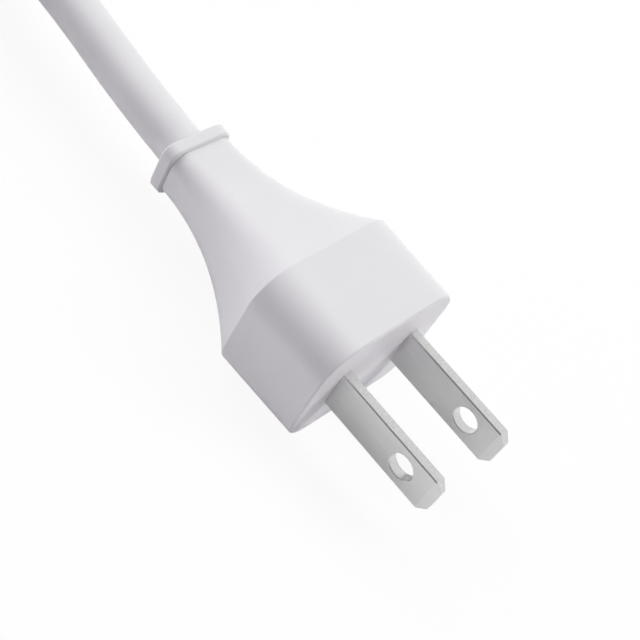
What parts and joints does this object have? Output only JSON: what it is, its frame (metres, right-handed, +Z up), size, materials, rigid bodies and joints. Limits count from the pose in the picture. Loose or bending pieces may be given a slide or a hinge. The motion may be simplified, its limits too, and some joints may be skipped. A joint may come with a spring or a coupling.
{
  "type": "type a plug",
  "caption": "Moulded mains plug with flat parallel blades, a flared neck ending in a collar, and a round white cord that lies folded in a tied hank.",
  "frame": {"origin": "Centre of the plug's foot: midway between the blade tips and the collar's rear face, midway between the blades, on the surface that the plug lies on.", "axes": "+X from the left blade to the right blade, +Y from the blade tips towards the cord, +Z up through the plug's upper flat side."},
  "size_m": [0.061, 0.2039, 0.028],
  "materials": {
    "moulding": "satin, fine grain",
    "blade": "nickel plated, fine lengthwise brushing",
    "copper": "bare stranded copper",
    "core_dark": "satin insulation",
    "core_pale": "satin insulation",
    "sheath": "satin",
    "tie": "satin"
  },
  "bodies": {
    "root": {"plug_body": "moulding", "blade_left": "blade", "blade_right": "blade", "strand_left": "copper", "strand_right": "copper", "core_left": "core_dark", "core_right": "core_pale", "cord": "sheath", "cord_tail": "sheath", "cord_hank": "sheath", "hank_tie_left": "tie", "hank_tie_right": "tie", "lead_core_left": "core_dark", "lead_core_right": "core_pale", "lead_tip_left": "copper", "lead_tip_right": "copper"}
  },
  "joints": []
}
